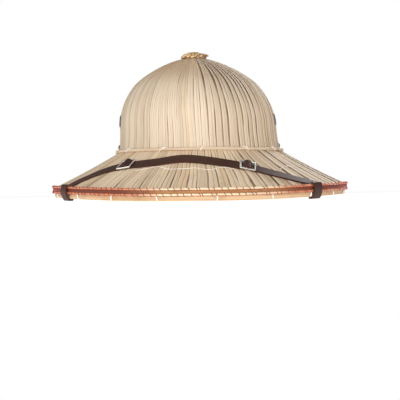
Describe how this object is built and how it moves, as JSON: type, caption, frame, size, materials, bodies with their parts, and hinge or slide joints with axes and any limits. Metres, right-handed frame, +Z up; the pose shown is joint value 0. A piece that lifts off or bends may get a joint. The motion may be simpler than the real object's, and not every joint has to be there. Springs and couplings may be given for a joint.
{
  "type": "safari hat",
  "caption": "Worn palm-leaf safari hat with a ribbed dome crown, sloping oval brim, cane-bound rim on a bamboo hoop, straw button and a leather chin strap laid over the brim.",
  "frame": {"origin": "middle of the hat's plan, on the surface that the rim stands on", "axes": "+Z up through the crown, -Y towards the front, +X towards the right as seen from the front"},
  "size_m": [0.3136, 0.3504, 0.158],
  "materials": {
    "palm_leaf": "dry bleached leaf with fine lengthwise fibres and brown edges",
    "pale_cane": "bare split cane",
    "bamboo": "worn golden bamboo",
    "red_cane": "red-brown lacquer, glossy and rubbed",
    "straw": "golden plaited straw",
    "strap_leather": "dark brown smooth leather, rubbed at the edges",
    "bright_metal": "bright nickel plate, lightly scratched",
    "thread": "off-white waxed cotton thread",
    "dull_metal": "dull grey metal",
    "dark_metal": "dark brown lacquered metal"
  },
  "bodies": {
    "root": {"crown": "palm_leaf", "brim": "palm_leaf", "crown_ring": "pale_cane", "rim_hoop": "bamboo", "rim_cane_upper": "red_cane", "rim_cane_lower": "red_cane", "top_button": "straw", "chin_strap": "strap_leather", "buckle_left": "bright_metal", "buckle_right": "bright_metal", "vent_left": "dull_metal", "vent_right": "dull_metal", "strap_stud_left": "dark_metal", "strap_stud_right": "dark_metal"}
  },
  "joints": []
}
